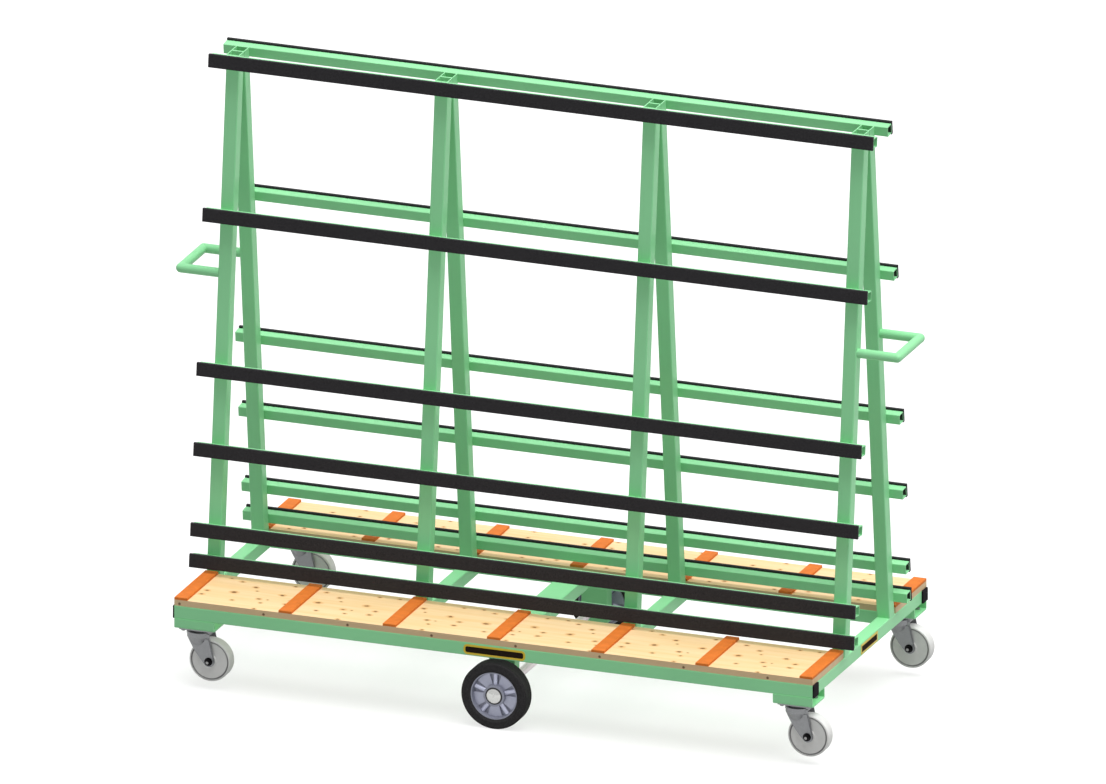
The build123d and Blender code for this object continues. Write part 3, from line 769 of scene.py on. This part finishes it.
def seen_ray(tree):
    """One where a ray comes from the camera, a gloss or a clear surface, and else zero."""
    rays = add_node(tree, "ShaderNodeLightPath").outputs
    seen = add_node(
        tree,
        "ShaderNodeMath",
        {0: rays["Is Camera Ray"], 1: rays["Is Glossy Ray"]},
        operation="MAXIMUM",
    )
    clear = add_node(
        tree,
        "ShaderNodeMath",
        {0: seen.outputs[0], 1: rays["Is Transmission Ray"]},
        operation="MAXIMUM",
    )
    return clear.outputs[0]


def lay_floor():
    """A floor that is white where it is seen, and throws back the light of a mid grey."""
    deselect_all()
    bpy.ops.mesh.primitive_plane_add(size=FLOOR_SIZE)
    floor = bpy.context.object
    floor.name = "studio_floor"
    grey, white = linear("#9f9f9f"), (1.0, 1.0, 1.0, 1.0)
    paint, tree, shader, place = start_material(
        "matt_floor_paint", grey, roughness=0.9, ior=1.2
    )
    seen = seen_ray(tree)
    tone = mottle(tree, place, 800 * MM, linear("#9e9e9e"), linear("#a0a0a0"))
    finish_surface(tree, shader, blend_colours(tree, seen, tone, linear("#bcbcbc")))
    shader.inputs["Emission Color"].default_value = white
    glow = add_node(tree, "ShaderNodeMath", {0: seen, 1: 0.5}, operation="MULTIPLY")
    tree.links.new(glow.outputs[0], shader.inputs["Emission Strength"])
    floor.data.materials.append(paint)


def light_studio(scene):
    """A white room all round, dimmer as a light than it looks."""
    world = bpy.data.worlds.new("white_studio")
    scene.world = world
    world.use_nodes = True
    tree = world.node_tree
    tree.nodes.clear()
    level = add_node(
        tree, "ShaderNodeMapRange", {"Value": seen_ray(tree), "To Min": STUDIO_LIGHT, "To Max": 1.0}
    )
    light = add_node(
        tree,
        "ShaderNodeBackground",
        {"Color": (1.0, 1.0, 1.0, 1.0), "Strength": level.outputs["Result"]},
    )
    add_node(tree, "ShaderNodeOutputWorld", {"Surface": light.outputs[0]})


def hang_lamps():
    """The soft lamps over the cart."""
    for name, energy, shadow in LAMPS:
        deselect_all()
        bpy.ops.object.light_add(type="SUN", location=LAMPS_PLACE)
        lamp = bpy.context.object
        lamp.name = name
        lamp.data.energy = energy
        lamp.data.angle = LAMP_SPREAD
        lamp.data.use_shadow = shadow
        lamp.rotation_euler = LAMPS_FROM.to_track_quat("Z", "Y").to_euler()


def set_camera(scene):
    """The photograph's camera, which draws without perspective."""
    right = Vector((cos(PHOTO_AZIMUTH), sin(PHOTO_AZIMUTH), 0))
    level_back = Vector((sin(PHOTO_AZIMUTH), -cos(PHOTO_AZIMUTH), 0))
    back = level_back * cos(PHOTO_ELEVATION) + Vector((0, 0, sin(PHOTO_ELEVATION)))
    up = back.cross(right)
    middle = BASE_TOP + METRES_PER_PIXEL * (BASE_TOP_LEFT * right + BASE_TOP_BELOW * up)
    camera = bpy.data.objects.new("photo_camera", bpy.data.cameras.new("photo_camera"))
    scene.collection.objects.link(camera)
    camera.data.type = "ORTHO"
    camera.data.ortho_scale = PHOTO_WIDTH * METRES_PER_PIXEL
    camera.data.clip_end = CAMERA_REACH
    camera.location = middle + CAMERA_DISTANCE * back
    camera.rotation_euler = back.to_track_quat("Z", "Y").to_euler()
    scene.camera = camera


class GLASSCART_OT_stage(bpy.types.Operator):
    """Set the pale floor, the soft light and the camera"""

    bl_idname = "glasscart.stage"
    bl_label = "Floor, light and camera"

    def execute(self, context):
        context.scene.view_settings.view_transform = "Standard"
        lay_floor()
        light_studio(context.scene)
        hang_lamps()
        set_camera(context.scene)
        return {"FINISHED"}


class GLASSCART_PT_panel(bpy.types.Panel):
    """Glass cart pieces, sizes and colours"""

    bl_label = "Glass Cart"
    bl_idname = "GLASSCART_PT_panel"
    bl_space_type = "VIEW_3D"
    bl_region_type = "UI"
    bl_category = "Glass Cart"

    def draw(self, context):
        for operator in OPERATORS:
            self.layout.operator(operator.bl_idname)
        for group in (context.scene.glass_cart_sizes, context.scene.glass_cart_colours):
            for name in group.__annotations__:
                self.layout.prop(group, name)


OPERATORS = (
    GLASSCART_OT_frame,
    GLASSCART_OT_decks,
    GLASSCART_OT_facings,
    GLASSCART_OT_plates,
    GLASSCART_OT_middle_wheels,
    GLASSCART_OT_castors,
    GLASSCART_OT_stage,
)
CLASSES = (GlassCartColours, GlassCartSizes, *OPERATORS, GLASSCART_PT_panel)


def register():
    for made in CLASSES:
        bpy.utils.register_class(made)
    bpy.types.Scene.glass_cart_colours = PointerProperty(type=GlassCartColours)
    bpy.types.Scene.glass_cart_sizes = PointerProperty(type=GlassCartSizes)


def unregister():
    del bpy.types.Scene.glass_cart_sizes
    del bpy.types.Scene.glass_cart_colours
    for made in reversed(CLASSES):
        bpy.utils.unregister_class(made)


def main():
    register()
    bpy.ops.glasscart.frame()
    bpy.ops.glasscart.decks()
    bpy.ops.glasscart.facings()
    bpy.ops.glasscart.plates()
    bpy.ops.glasscart.middle_wheels()
    bpy.ops.glasscart.castors()
    bpy.ops.glasscart.stage()


if __name__ == "__main__":
    main()
